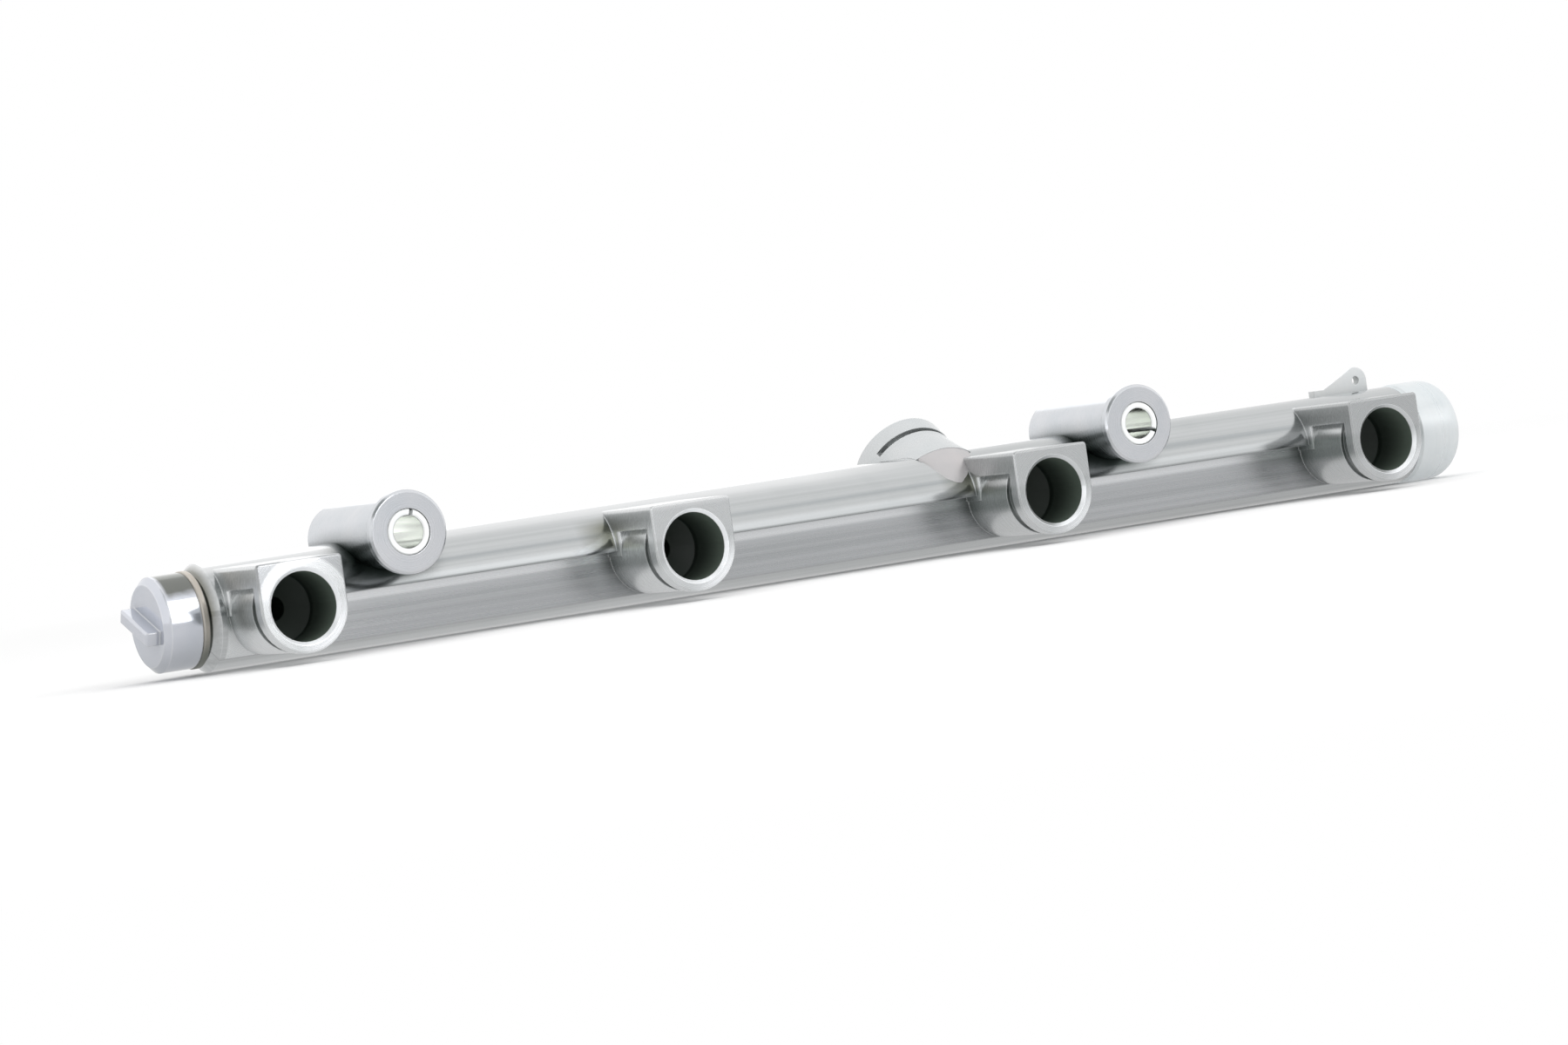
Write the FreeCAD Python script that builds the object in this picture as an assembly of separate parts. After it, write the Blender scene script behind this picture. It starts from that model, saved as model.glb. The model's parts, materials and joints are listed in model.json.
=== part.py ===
import FreeCAD
import Part
import math
import os

from FreeCAD import Rotation, Vector

# Fuel rail of a four cylinder engine, in millimetres.
# The origin is the centre of the first injector cup's mouth. +X runs along the rail towards the last cup,
# the cups open towards -Y, and +Z is up. The mouths of all cups lie in the plane y = 0.

# Injector cups, cut from the extrusion
cup_count = 4
cup_pitch = 88.0
cup_half_width = 9.3
cup_top_height = 9.4
cup_corner_radius = 0.8
cup_bore_radius = 7.0
cup_bore_depth = 13.5
cup_lead_in = 0.7
cup_feed_radius = 2.5
cup_floor_angle = 118.0
cup_edge_break = 0.35
clip_flange_thickness = 2.8
clip_groove_width = 2.6
clip_groove_depth = 1.1
cup_neck_relief = 0.3
cup_rib_underside = 4.9
cup_root_underside = -0.2
cup_root_reach = 1.4
cup_root_fillet = 0.8

# Gallery tube
tube_setback = 28.0
tube_radius = 11.0
gallery_radius = 4.5
front_wall = 2.2
ledge_height = 0.85
left_end_overhang = 12.6
right_end_overhang = 21.5
left_end_chamfer = 1.9
right_end_chamfer = 0.6

# Mounting bosses, brazed across the top of the tube
boss_cups = (0, -2)
boss_offset = 27.1
boss_height = 11.4
boss_front = 5.7
boss_length = 34.3
boss_shank_radius = 7.1
boss_flange_radius = 8.5
boss_flange_thickness = 2.4
boss_edge_break = 0.5
boss_seat_wall = 1.5

# Rolled steel sleeves pressed into the bosses
sleeve_wall = 1.4
bolt_hole_radius = 3.3
sleeve_slit_width = 0.8
sleeve_slit_angles = (75.0, -27.0)
sleeve_edge_break = 0.3
press_clearance = 0.02

# Screw plug that closes the left end
plug_head_radius = 9.7
plug_head_length = 8.0
plug_head_chamfer = 1.3
plug_bar_length = 13.0
plug_bar_thickness = 2.8
plug_bar_height = 3.0
plug_bar_tilt = 23.5
plug_bar_edge_radius = 0.4
plug_thread_radius = 7.0
plug_thread_length = 9.0
plug_thread_relief = 0.9
plug_thread_chamfer = 0.8
thread_clearance = 0.1
washer_radius = 9.9
washer_thickness = 1.6
washer_edge_break = 0.3

# Domed cap pressed into the right end
cap_radius = 11.3
cap_length = 13.0
cap_rim_chamfer = 0.7
cap_edge_radius = 5.0
cap_spigot_radius = 7.2
cap_spigot_length = 9.0
cap_spigot_chamfer = 0.6
cap_clearance = 0.03
seal_thickness = 1.5
seal_width = 1.6
seal_groove_width = 1.9
seal_groove_depth = 1.53
seal_setback = 4.0

# Feed inlet, brazed to the back of the tube
inlet_offset = 12.0
inlet_elevation = 34.0
inlet_radius = 11.2
inlet_reach = 19.4
inlet_bore_radius = 8.0
inlet_floor_wall = 2.5
inlet_feed_radius = 4.0
inlet_lead_in = 0.8
inlet_edge_break = 1.6
inlet_foot_radius = 12.8
inlet_foot_start = 2.5
clip_slot_width = 1.4
clip_slot_rise = 1.4
clip_slot_half_angle = 58.0

# Sheet tab on top of the right end
tab_offset = 14.9
tab_behind_crest = 2.0
tab_thickness = 2.0
tab_hole_height = 2.4
tab_hole_radius = 0.95
tab_eye_radius = 3.0
tab_eye_lean = 40.0
tab_foot_height = 1.3
tab_foot_length = 14.9
tab_toe_length = 2.8

# Places that follow from the driving dimensions
x_axis = Vector(1, 0, 0)
y_axis = Vector(0, 1, 0)
z_axis = Vector(0, 0, 1)
cup_stations = [index * cup_pitch for index in range(cup_count)]
left_end = cup_stations[0] - left_end_overhang
right_end = cup_stations[-1] + right_end_overhang
rail_length = right_end - left_end
flat_setback = tube_setback - gallery_radius - front_wall
clip_groove_back = clip_flange_thickness + clip_groove_width
clip_groove_radius = cup_half_width - clip_groove_depth
cup_neck_radius = cup_half_width - cup_neck_relief
cup_root_front = tube_setback - tube_radius - cup_root_reach
boss_stations = [cup_stations[cup] + boss_offset for cup in boss_cups]
boss_seat_height = gallery_radius + boss_seat_wall
sleeve_radius = bolt_hole_radius + sleeve_wall
plug_shoulder = left_end - washer_thickness
inlet_station = cup_stations[-2] - inlet_offset
inlet_tilt = math.radians(inlet_elevation)
inlet_axis = Vector(0, math.cos(inlet_tilt), math.sin(inlet_tilt))
inlet_floor = gallery_radius + inlet_floor_wall


def turned(profile, origin, axis):
    """Solid of revolution whose (station, radius) corners are measured along the axis from the origin."""
    corners = [Vector(radius, 0, station) for station, radius in profile]
    face = Part.Face(Part.makePolygon(corners + corners[:1]))
    solid = face.revolve(Vector(), z_axis, 360)
    if solid.Volume < 0:
        solid.reverse()
    solid.Placement = FreeCAD.Placement(origin, Rotation(z_axis, axis))
    return solid


def box(x_range, y_range, z_range):
    """Box between two limits on each axis."""
    low = Vector(x_range[0], y_range[0], z_range[0])
    return Part.makeBox(x_range[1] - x_range[0], y_range[1] - y_range[0], z_range[1] - z_range[0], low)


def tube_point(x):
    """Point of the gallery's centre line."""
    return Vector(x, tube_setback, 0)


def tube_envelope(radius):
    """Round bar along the gallery, longer than the rail at both ends."""
    return Part.makeCylinder(radius, rail_length * 2, tube_point(left_end - rail_length / 2), x_axis)


def cup_prism(station, length):
    """Outline of a cup, round below and square above with rounded corners, drawn back from the mouth."""
    left = Vector(station - cup_half_width, 0, 0)
    right = Vector(station + cup_half_width, 0, 0)
    bottom = Vector(station, 0, -cup_half_width)
    left_corner = Vector(station - cup_half_width, 0, cup_top_height)
    right_corner = Vector(station + cup_half_width, 0, cup_top_height)
    edges = [
        Part.Arc(left, bottom, right).toShape(),
        Part.LineSegment(right, right_corner).toShape(),
        Part.LineSegment(right_corner, left_corner).toShape(),
        Part.LineSegment(left_corner, left).toShape(),
    ]
    prism = Part.Face(Part.Wire(edges)).extrude(y_axis * length)
    corners = [edge for edge in prism.Edges if edge.BoundBox.ZMin > cup_top_height - cup_corner_radius]
    corners = [edge for edge in corners if edge.BoundBox.YLength > edge.BoundBox.XLength]
    return prism.makeFillet(cup_corner_radius, corners)


def clip_flange(station):
    """Flange at the mouth of a cup, behind which the injector's clip hooks, with its front edge broken."""
    flange = cup_prism(station, clip_flange_thickness)
    front_edges = [edge for edge in flange.Edges if edge.BoundBox.YMax < cup_edge_break]
    return flange.makeChamfer(cup_edge_break, front_edges)


def cup_block(station):
    """Solid cup: flange, clip groove, turned neck, and the rib and root left from the extrusion."""
    mouth = Vector(station, 0, 0)
    groove = Part.makeCylinder(clip_groove_radius, clip_groove_back, mouth, y_axis)
    neck_start = mouth + y_axis * clip_groove_back
    neck = Part.makeCylinder(cup_neck_radius, tube_setback - clip_groove_back, neck_start, y_axis)
    sides = (station - cup_half_width, station + cup_half_width)
    rib = box(sides, (clip_flange_thickness, tube_setback), (cup_rib_underside, cup_top_height))
    root = box(sides, (cup_root_front, tube_setback), (cup_root_underside, cup_top_height))
    front_edges = [edge for edge in root.Edges if edge.BoundBox.YMax < cup_root_front + cup_root_fillet]
    upright_edges = [edge for edge in front_edges if edge.BoundBox.ZLength > edge.BoundBox.XLength]
    root = root.makeFillet(cup_root_fillet, upright_edges)
    behind = rib.fuse(root).common(cup_prism(station, tube_setback))
    return clip_flange(station).multiFuse([groove, neck, behind])


def cup_bore(station):
    """Stepped bore of a cup: lead-in, seal bore with a drilled floor, and feed hole to the gallery."""
    cone_rise = (cup_bore_radius - cup_feed_radius) / math.tan(math.radians(cup_floor_angle / 2))
    profile = [
        (0, 0),
        (0, cup_bore_radius + cup_lead_in),
        (cup_lead_in, cup_bore_radius),
        (cup_bore_depth, cup_bore_radius),
        (cup_bore_depth + cone_rise, cup_feed_radius),
        (tube_setback, cup_feed_radius),
        (tube_setback, 0),
    ]
    return turned(profile, Vector(station, 0, 0), y_axis)


def gallery_bores():
    """Gallery with its threaded port on the left and the cap's counterbore on the right."""
    gallery = Part.makeCylinder(gallery_radius, rail_length, tube_point(left_end), x_axis)
    port_radius = plug_thread_radius + thread_clearance
    port = Part.makeCylinder(port_radius, plug_thread_length + thread_clearance, tube_point(left_end), x_axis)
    seat_length = cap_spigot_length + cap_clearance
    seat = Part.makeCylinder(cap_spigot_radius + cap_clearance, seat_length, tube_point(right_end), x_axis * -1)
    return gallery.multiFuse([port, seat])


def boss_shank(station):
    """Round shank of a mounting boss, before it is seated on the tube."""
    start = Vector(station, boss_front, boss_height)
    return Part.makeCylinder(boss_shank_radius, boss_length, start, y_axis)


def boss_pocket(station):
    """What is milled out of the tube for a boss: its shank, down to the flat over the gallery."""
    reach = boss_front + boss_length
    above = box(
        (station - tube_radius, station + tube_radius),
        (boss_front, reach),
        (boss_seat_height, boss_height + tube_radius),
    )
    return boss_shank(station).common(above)


def inlet_bores():
    """Seal bore for the feed pipe and its hole into the gallery."""
    profile = [
        (0, 0),
        (0, inlet_feed_radius),
        (inlet_floor, inlet_feed_radius),
        (inlet_floor, inlet_bore_radius),
        (inlet_reach - inlet_lead_in, inlet_bore_radius),
        (inlet_reach, inlet_bore_radius + inlet_lead_in),
        (inlet_reach, 0),
    ]
    return turned(profile, tube_point(inlet_station), inlet_axis)


def rail_body():
    """The extruded and machined body: gallery tube, front ledge and flat, and the injector cups."""
    ends = [
        (0, 0),
        (0, tube_radius - left_end_chamfer),
        (left_end_chamfer, tube_radius),
        (rail_length - right_end_chamfer, tube_radius),
        (rail_length, tube_radius - right_end_chamfer),
        (rail_length, 0),
    ]
    body = turned(ends, tube_point(left_end), x_axis)
    flat = box((cup_stations[0], cup_stations[-1]), (0, flat_setback), (-tube_radius, ledge_height))
    body = body.cut(flat)
    body = body.multiFuse([cup_block(station) for station in cup_stations])
    cuts = [gallery_bores(), inlet_bores()]
    cuts += [cup_bore(station) for station in cup_stations]
    cuts += [boss_pocket(station) for station in boss_stations]
    return body.cut(cuts).removeSplitter()


def mounting_boss(station, body):
    """Turned stand-off with a wider face for the bolt, notched underneath where it sits on the tube."""
    profile = [
        (0, sleeve_radius + press_clearance),
        (0, boss_flange_radius - boss_edge_break),
        (boss_edge_break, boss_flange_radius),
        (boss_flange_thickness - boss_edge_break, boss_flange_radius),
        (boss_flange_thickness, boss_flange_radius - boss_edge_break),
        (boss_flange_thickness, boss_shank_radius),
        (boss_length - boss_edge_break, boss_shank_radius),
        (boss_length, boss_shank_radius - boss_edge_break),
        (boss_length, sleeve_radius + press_clearance),
    ]
    boss = turned(profile, Vector(station, boss_front, boss_height), y_axis)
    under = tube_envelope(tube_radius).cut(boss_pocket(station))
    return boss.cut([under, body]).removeSplitter()


def boss_sleeve(station, slit_angle):
    """Rolled steel sleeve with the slit where its edges meet, flush with both faces of the boss."""
    profile = [
        (0, bolt_hole_radius + sleeve_edge_break),
        (0, sleeve_radius - sleeve_edge_break),
        (sleeve_edge_break, sleeve_radius),
        (boss_length - sleeve_edge_break, sleeve_radius),
        (boss_length, sleeve_radius - sleeve_edge_break),
        (boss_length, bolt_hole_radius + sleeve_edge_break),
        (boss_length - sleeve_edge_break, bolt_hole_radius),
        (sleeve_edge_break, bolt_hole_radius),
    ]
    centre = Vector(station, boss_front, boss_height)
    sleeve = turned(profile, centre, y_axis)
    slit = box((0, sleeve_radius * 2), (0, boss_length), (-sleeve_slit_width / 2, sleeve_slit_width / 2))
    slit.Placement = FreeCAD.Placement(centre, Rotation(y_axis, -slit_angle))
    return sleeve.cut(slit)


def end_plug():
    """Plated screw plug: round head with a raised drive bar, thread relief and threaded shank."""
    relief_radius = plug_thread_radius - plug_thread_relief
    tip = plug_head_length + washer_thickness + plug_thread_length
    profile = [
        (0, 0),
        (0, plug_head_radius - plug_head_chamfer),
        (plug_head_chamfer, plug_head_radius),
        (plug_head_length, plug_head_radius),
        (plug_head_length, relief_radius),
        (plug_head_length + washer_thickness, relief_radius),
        (plug_head_length + washer_thickness, plug_thread_radius),
        (tip - plug_thread_chamfer, plug_thread_radius),
        (tip, plug_thread_radius - plug_thread_chamfer),
        (tip, 0),
    ]
    face_centre = tube_point(plug_shoulder - plug_head_length)
    plug = turned(profile, face_centre, x_axis)
    half_length = plug_bar_length / 2
    half_thickness = plug_bar_thickness / 2
    bar = box((-plug_bar_height, plug_bar_height), (-half_length, half_length), (-half_thickness, half_thickness))
    free_edges = [edge for edge in bar.Edges if edge.BoundBox.XMax < 0]
    bar = bar.makeFillet(plug_bar_edge_radius, free_edges)
    bar.Placement = FreeCAD.Placement(face_centre, Rotation(x_axis, plug_bar_tilt))
    return plug.fuse(bar).removeSplitter()


def plug_washer():
    """Sealing washer pinched between the plug's head and the end of the tube."""
    bore = plug_thread_radius + thread_clearance
    profile = [
        (0, bore),
        (0, washer_radius - washer_edge_break),
        (washer_edge_break, washer_radius),
        (washer_thickness - washer_edge_break, washer_radius),
        (washer_thickness, washer_radius - washer_edge_break),
        (washer_thickness, bore),
    ]
    return turned(profile, tube_point(plug_shoulder), x_axis)


def end_cap():
    """Domed cap with a spigot that fills the counterbore and a groove for its seal."""
    shoulder = cap_spigot_length
    groove_start = shoulder - seal_setback - seal_groove_width / 2
    groove_radius = cap_spigot_radius - seal_groove_depth
    profile = [
        (0, 0),
        (0, cap_spigot_radius - cap_spigot_chamfer),
        (cap_spigot_chamfer, cap_spigot_radius),
        (groove_start, cap_spigot_radius),
        (groove_start, groove_radius),
        (groove_start + seal_groove_width, groove_radius),
        (groove_start + seal_groove_width, cap_spigot_radius),
        (shoulder, cap_spigot_radius),
        (shoulder, cap_radius - cap_rim_chamfer),
        (shoulder + cap_rim_chamfer, cap_radius),
        (shoulder + cap_length, cap_radius),
        (shoulder + cap_length, 0),
    ]
    cap = turned(profile, tube_point(right_end - cap_spigot_length), x_axis)
    dome_start = right_end + cap_length - cap_edge_radius
    rim = [edge for edge in cap.Edges if edge.BoundBox.XMin > dome_start and len(edge.Vertexes) == 1]
    return cap.makeFillet(cap_edge_radius, rim)


def cap_seal():
    """Ring cut from rubber tube, square in section, in the groove of the end cap."""
    inner_radius = cap_spigot_radius - seal_groove_depth + cap_clearance
    outer_radius = inner_radius + seal_thickness
    profile = [
        (0, inner_radius),
        (0, outer_radius),
        (seal_width, outer_radius),
        (seal_width, inner_radius),
    ]
    return turned(profile, tube_point(right_end - seal_setback - seal_width / 2), x_axis)


def inlet_fitting(body):
    """Feed inlet: short round stub with a flared foot saddled on the tube and a slot for a wire clip."""
    slot_bottom = tube_radius + clip_slot_rise
    slot_top = slot_bottom + clip_slot_width
    profile = [
        (inlet_foot_start, 0),
        (inlet_foot_start, inlet_foot_radius),
        (tube_radius, inlet_radius),
        (inlet_reach - inlet_edge_break, inlet_radius),
        (inlet_reach, inlet_radius - inlet_edge_break),
        (inlet_reach, 0),
    ]
    stub = turned(profile, tube_point(inlet_station), inlet_axis)
    chord = inlet_radius * math.cos(math.radians(clip_slot_half_angle))
    slot = box((-inlet_radius, inlet_radius), (slot_bottom, slot_top), (chord, inlet_radius))
    slot.Placement = FreeCAD.Placement(tube_point(inlet_station), Rotation(x_axis, inlet_elevation))
    return stub.cut([tube_envelope(tube_radius), body, inlet_bores(), slot]).removeSplitter()


def clip_tab():
    """Small sheet tab with an eye, standing on the tube just behind its crest."""
    station = cup_stations[-1] + tab_offset
    y_front = tube_setback + tab_behind_crest
    eye = Vector(station, y_front, tube_radius + tab_hole_height)
    lean = math.radians(tab_eye_lean)
    eye_left = eye + Vector(-math.sin(lean), 0, math.cos(lean)) * tab_eye_radius
    eye_top = eye + z_axis * tab_eye_radius
    eye_right = eye + x_axis * tab_eye_radius
    toe = eye_right.x - tab_foot_length
    foot_top = tube_radius + tab_foot_height
    corners = [
        eye_right,
        Vector(eye_right.x, y_front, 0),
        Vector(toe, y_front, 0),
        Vector(toe, y_front, foot_top),
        Vector(toe + tab_toe_length, y_front, foot_top),
        eye_left,
    ]
    edges = [Part.Arc(eye_left, eye_top, eye_right).toShape()]
    edges += [Part.LineSegment(start, end).toShape() for start, end in zip(corners, corners[1:])]
    plate = Part.Face(Part.Wire(edges)).extrude(y_axis * tab_thickness)
    hole = Part.makeCylinder(tab_hole_radius, tab_thickness, eye, y_axis)
    return plate.cut([hole, tube_envelope(tube_radius)])


def all_nodes():
    """Every separate piece of the rail by its name."""
    body = rail_body()
    nodes = {
        "rail_body": body,
        "end_plug": end_plug(),
        "plug_washer": plug_washer(),
        "end_cap": end_cap(),
        "cap_seal": cap_seal(),
        "inlet_fitting": inlet_fitting(body),
        "clip_tab": clip_tab(),
    }
    for number, (station, slit_angle) in enumerate(zip(boss_stations, sleeve_slit_angles), start=1):
        nodes["mounting_boss_%d" % number] = mounting_boss(station, body)
        nodes["boss_sleeve_%d" % number] = boss_sleeve(station, slit_angle)
    return nodes


os.makedirs("parts", exist_ok=True)
for name, shape in all_nodes().items():
    shape.exportStep("parts/%s.step" % name)
    print(name, len(shape.Solids), "solid", round(shape.Volume, 1), "mm3", shape.isValid())
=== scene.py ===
import json
import math

import bmesh
import bpy
from mathutils import Matrix, Vector


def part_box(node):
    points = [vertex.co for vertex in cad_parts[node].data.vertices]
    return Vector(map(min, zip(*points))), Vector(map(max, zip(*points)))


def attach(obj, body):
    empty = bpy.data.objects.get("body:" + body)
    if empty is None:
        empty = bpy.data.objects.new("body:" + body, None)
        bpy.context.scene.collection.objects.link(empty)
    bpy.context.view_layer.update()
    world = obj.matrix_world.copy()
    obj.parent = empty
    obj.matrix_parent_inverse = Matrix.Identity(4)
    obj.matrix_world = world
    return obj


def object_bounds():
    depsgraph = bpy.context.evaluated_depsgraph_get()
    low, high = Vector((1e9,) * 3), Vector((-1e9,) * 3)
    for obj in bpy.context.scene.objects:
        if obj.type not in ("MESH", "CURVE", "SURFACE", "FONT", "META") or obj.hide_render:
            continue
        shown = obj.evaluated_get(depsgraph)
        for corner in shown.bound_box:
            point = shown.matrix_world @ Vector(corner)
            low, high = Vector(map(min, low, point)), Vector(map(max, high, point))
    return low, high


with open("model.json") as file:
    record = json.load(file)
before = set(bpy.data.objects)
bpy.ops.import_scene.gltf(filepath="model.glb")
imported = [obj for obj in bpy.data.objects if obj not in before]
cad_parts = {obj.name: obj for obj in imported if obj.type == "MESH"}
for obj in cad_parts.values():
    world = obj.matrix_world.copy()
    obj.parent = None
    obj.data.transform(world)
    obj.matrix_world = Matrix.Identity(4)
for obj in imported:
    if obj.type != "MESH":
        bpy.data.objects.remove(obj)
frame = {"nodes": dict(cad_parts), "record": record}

bl_info = {
    "name": "Fuel rail",
    "version": (1, 0, 0),
    "blender": (4, 5, 0),
    "location": "3D View > Sidebar > Fuel rail",
    "description": "Finishes the pieces of a fuel rail and sets them on a studio floor",
    "category": "Object",
}

MM = 0.001
MOUNTS = {mount["name"]: mount for mount in frame["record"]["mounts"]}
CAD_LOW, CAD_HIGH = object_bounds()
SHARP_ANGLE = math.radians(40.0)

# Places and sizes from the record and the CAD
CUP_STATIONS = [MOUNTS["injector_cup_%d" % number]["pos_m"][0] for number in (1, 2, 3, 4)]
CUP_PITCH = CUP_STATIONS[1] - CUP_STATIONS[0]
CUP_BORE_RADIUS = MOUNTS["injector_cup_1"]["dims"]["r_mm"] * MM
BOLT_HOLE = Vector(MOUNTS["bolt_hole_1"]["pos_m"])
BOLT_PITCH = MOUNTS["manifold_bolts"]["dims"]["spacing_x_mm"] * MM
SLEEVE_BORE_RADIUS = MOUNTS["bolt_hole_1"]["dims"]["r_mm"] * MM
INLET_CENTRE = Vector(MOUNTS["feed_inlet"]["pos_m"])
INLET_AXIS = Vector(MOUNTS["feed_inlet"]["axis"])
TAB_EYE = Vector(MOUNTS["tab_eye"]["pos_m"])
TUBE_CENTRE = (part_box("end_cap")[0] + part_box("end_cap")[1]) / 2
TUBE_RADIUS = (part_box("end_cap")[1].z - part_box("end_cap")[0].z) / 2
RAIL_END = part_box("rail_body")[0].x

# Places on the rail's front and on the plug that the record doesn't hold
FRONT_FLAT = TUBE_CENTRE.y - 6.7 * MM
LEDGE_HEIGHT = 0.85 * MM
CUP_HALF_WIDTH = 9.3 * MM
# Where the dark reflection painted over the plug's top begins, how it fades up and along, and how
# ragged it is
TOP_REFLECTION_HEIGHT = 5.8 * MM
TOP_REFLECTION_START = -20.8 * MM
TOP_REFLECTION_FADE_UP = 1.5 * MM
TOP_REFLECTION_FADE_ALONG = 0.8 * MM
TOP_REFLECTION_RAGGED = 2.0 * MM

# The inlet's foot and the braze fillet under it
FOOT_RADIUS = 12.8 * MM
FOOT_START = 2.5 * MM
FILLET_HALF_WIDTH = 6.5 * MM
FILLET_REACH = math.radians(54.0)
FILLET_TUCK = math.radians(1.5)
FILLET_DEPTH = 0.5 * MM
FILLET_SINK = 0.55 * MM
FILLET_HOLLOW = 1.3
FILLET_SHORT_SIDE = 0.45
FILLET_STEPS = (28, 24)

# Axes that pieces are turned about
ALONG_RAIL = (1.0, 0.0, 0.0)
INTO_CUP = (0.0, 1.0, 0.0)

# Ranges that a mask is spread over: three of a noise, the broad lines and the oxide among them,
# how far a softened normal turns at an edge, and the share of open sky in a hollow
NARROW = (0.35, 0.65)
MIDDLE = (0.3, 0.7)
WIDE = (0.25, 0.75)
BROAD_LINES = (0.4, 0.6)
OXIDE_PATCHES = (0.55, 0.75)
EDGE_TURN = (0.995, 0.90)
OPEN_SKY = (0.88, 0.35)

# Strengths from 0 to 1. The painted shadow at the bosses multiplies its mask, and the shade
# painted into the hollows beside the cups has a strength at each of two heights.
LIGHT_LINE_LEVEL = 0.14
DARK_LINE_LEVEL = 0.18
OXIDE_LEVEL = 0.2
GROOVE_SHADE = 0.12
CUP_RINGS_LEVEL = 0.3
LOW_SHADE_LINE_LEVEL = 0.5
TURNED_WEAR_GLINT = 0.6
RAIL_WEAR_GLINT = 0.5
TOP_REFLECTION_LEVEL = 0.85
BOSS_SHADOW = 2.0
CUP_HOLLOW_HEIGHTS = (1.5 * MM, 4.0 * MM)
CUP_HOLLOW_LEVELS = (0.6, 0.25)

# Roughness and metal, where a pair is spread over a mask or a noise. The matt shares are how
# much of the painted highlight on the cups' mouths and of the cups answers soft light as paint
# does. The two heights are those of the turned rings and of the rail's grain.
DRAWN_ROUGHNESS = (0.13, 0.20)
MACHINED_ROUGHNESS = (0.24, 0.32)
BORE_ROUGHNESS = 0.55
TURNED_SPREAD = (-0.05, 0.06)
SLEEVE_ROUGHNESS = (0.3, 0.2)
SLEEVE_METAL = (0.1, 1.0)
RUBBER_ROUGHNESS = (0.5, 0.7)
GLINT_MATT = 0.7
CUP_MATT = 0.2
RING_HEIGHT = 0.03 * MM
GRAIN_HEIGHT = 0.04 * MM

# Colours that aren't settings
WHITE = (1.0, 1.0, 1.0)
BLACK = (0.0, 0.0, 0.0)
# Broken edges lightened, partly as wear and partly as a painted highlight
WORN_TURNED_GLINT = (0.92, 0.93, 0.94)
WORN_RAIL_GLINT = (0.9, 0.92, 0.93)
# Shade painted into the hollows of turned pieces
TURNED_PAINTED_SHADE = (0.075, 0.095, 0.085)
# Shade painted into the rail's hollows and under its bosses
RAIL_PAINTED_SHADE = (0.05, 0.062, 0.057)
# Colour of the dark reflection painted over the plug's top
PLUG_TOP_REFLECTION = (0.105, 0.11, 0.085)
# Darker colour over the top of the rail, right at its end
END_DARK_TOP = (0.17, 0.165, 0.13)
LIGHT_LINE = (0.80, 0.81, 0.82)
DARK_LINE = (0.30, 0.32, 0.32)
OXIDE = (0.44, 0.47, 0.47)
EDGE_SHADE = (0.30, 0.31, 0.31)
# Painted shade on the walls of the cups' bores
BORE_PAINTED_SHADE = (0.11, 0.14, 0.115)
# Near-white painted light inside the sleeves' bores
SLEEVE_BORE_LIGHT = (0.98, 1.0, 0.97)
CLOUD_TINT = (0.92, 0.94, 0.95)
RING_LIFT = 1.12
RUBBER_LIFT = 1.6
# How much lighter the first cup and darker the last are painted, as light that falls off along the
# rail
CUP_LIT_AND_SHADED_LIFTS = (1.13, 0.80)

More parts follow.
